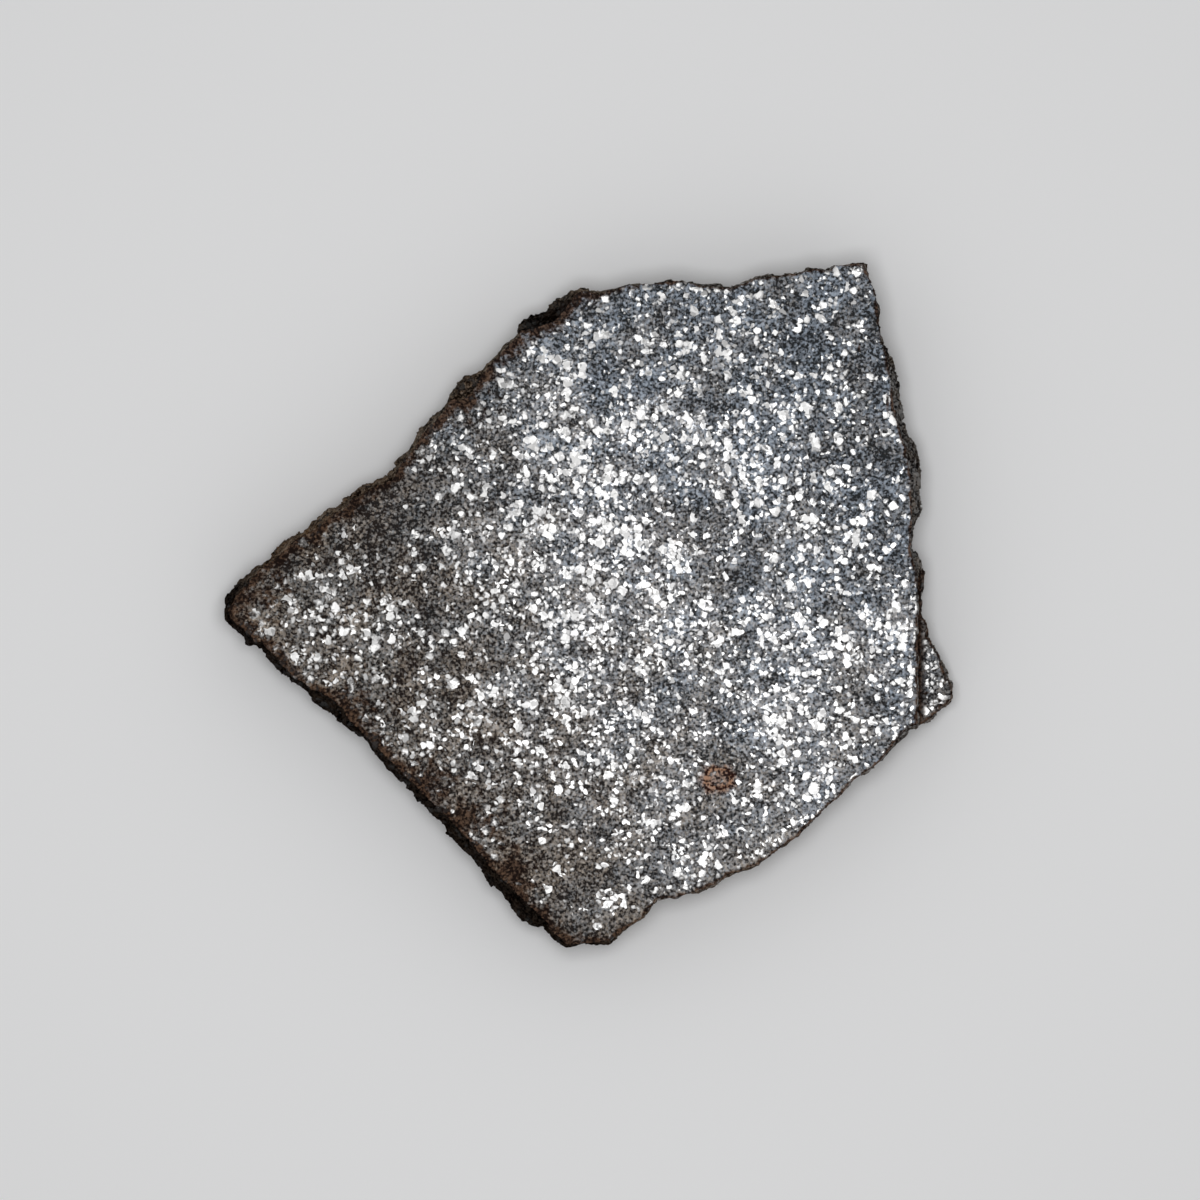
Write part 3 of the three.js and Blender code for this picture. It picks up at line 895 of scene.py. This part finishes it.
# %% Roughen the rim and finish the slice
relief = stone.modifiers.new("rim_relief", "NODES")
relief.node_group = TREE
for item in TREE.interface.items_tree:
    if item.in_out == "INPUT" and item.name in RELIEF:
        relief[item.identifier] = RELIEF[item.name]
finished = plain_mesh(stone, "slice_stone")
flat_map(finished)
slice_piece = bpy.data.objects.new("slice_stone", finished)
bpy.context.scene.collection.objects.link(slice_piece)
bpy.data.objects.remove(stone)
finished.polygons.foreach_set("use_smooth", np.ones(len(finished.polygons), bool))
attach(slice_piece, "root")
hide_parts(NODE)
finished.calc_loop_triangles()
print(f"the finished slice has {len(finished.loop_triangles)} triangles")


# %% [markdown]
# ## Floor, light and camera
# The studio is a pale floor in an evenly lit room, with one small softbox on the camera's line of
# sight. A polished face shows what stands opposite it, so about its middle the stone gleams and the
# metal is white, and towards the edges both turn grey. A lamp from the side would light the rim more,
# but would leave the metal dark.

# %% Make the floor
# Half the floor's width in metres, and its gap under the slice, so that their faces don't meet
FLOOR_HALF = 1.5
FLOOR_GAP_MM = 0.01
FLOOR_COLOUR = "#f3f3f3"
FLOOR_ROUGHNESS = 0.9
FLOOR_SPECULAR = 0.1


def floor():
    """A large pale plane just under the slice."""
    mesh = bpy.data.meshes.new("floor")
    z = -FLOOR_GAP_MM * MM
    corners = [(x * FLOOR_HALF, y * FLOOR_HALF, z) for x, y in ((-1, -1), (1, -1), (1, 1), (-1, 1))]
    mesh.from_pydata(corners, [], [(0, 1, 2, 3)])
    # Matt painted board shows the eye an even, pale grey and a soft shadow
    material = bpy.data.materials.new("painted_board")
    material.use_nodes = True
    shader = material.node_tree.nodes["Principled BSDF"]
    shader.inputs["Base Color"].default_value = linear(FLOOR_COLOUR)
    shader.inputs["Roughness"].default_value = FLOOR_ROUGHNESS
    shader.inputs["Specular IOR Level"].default_value = FLOOR_SPECULAR
    mesh.materials.append(material)
    plane = bpy.data.objects.new("floor", mesh)
    bpy.context.scene.collection.objects.link(plane)


floor()
print(f"the floor is {2 * FLOOR_HALF} m wide")

# %% Light the room
# How bright the room is along the floor, and straight above
HORIZON_LIGHT = 0.54
CEILING_LIGHT = 0.63
# The softbox: its height above the face, its size, its place, how bright its front is, and its colour
LAMP_HEIGHT_MM = 150
LAMP_SIZE_MM = 40
LAMP_PLACE_MM = (0.2, 0.2)
LAMP_RADIANCE = 13.8
LAMP_COLOUR = "#fcfdff"


def room():
    """Soft light from all around, brightest from above."""
    world = bpy.data.worlds.new("room")
    bpy.context.scene.world = world
    world.use_nodes = True
    tree = world.node_tree
    tree.nodes.clear()
    way = add(tree, "ShaderNodeTexCoord", out="Generated")
    up = add(tree, "ShaderNodeSeparateXYZ", {0: way}, out="Z")
    light = add(tree, "ShaderNodeMapRange", {0: up, 3: HORIZON_LIGHT, 4: CEILING_LIGHT})
    glow = add(tree, "ShaderNodeBackground", {"Strength": light})
    add(tree, "ShaderNodeOutputWorld", {"Surface": glow})


def softbox():
    """A square lamp that faces down. It is not seen itself, only in what it lights."""
    lamp = bpy.data.lights.new("softbox", "AREA")
    lamp.shape = "SQUARE"
    lamp.size = LAMP_SIZE_MM * MM
    lamp.color = linear(LAMP_COLOUR)[:3]
    lamp.energy = LAMP_RADIANCE * math.pi * lamp.size ** 2
    holder = bpy.data.objects.new("softbox", lamp)
    holder.location = (LAMP_PLACE_MM[0] * MM, LAMP_PLACE_MM[1] * MM, (TOP + LAMP_HEIGHT_MM) * MM)
    holder.visible_camera = False
    bpy.context.scene.collection.objects.link(holder)


room()
softbox()
print(f"a {LAMP_SIZE_MM} mm softbox, {LAMP_HEIGHT_MM} mm above the face")

# %% Set the camera
# The photograph is 1200 pixels wide, and 20 of them are a millimetre on the polished face
PIXELS = 1200
PIXELS_PER_MM = 20
# The place under the middle of the photograph, and the camera's height above the face
MIDDLE_MM = (0.55, 0.28)
CAMERA_MM = 500
SENSOR_MM = 36


def camera():
    """A long lens straight above the face, so that little of the rim is hidden."""
    data = bpy.data.cameras.new("camera")
    data.sensor_width = SENSOR_MM
    data.lens = SENSOR_MM * CAMERA_MM / (PIXELS / PIXELS_PER_MM)
    holder = bpy.data.objects.new("camera", data)
    holder.location = (MIDDLE_MM[0] * MM, MIDDLE_MM[1] * MM, (TOP + CAMERA_MM) * MM)
    bpy.context.scene.collection.objects.link(holder)
    bpy.context.scene.camera = holder


camera()
bpy.context.scene.view_settings.view_transform = "Standard"
print(f"the camera is {CAMERA_MM} mm above the face")
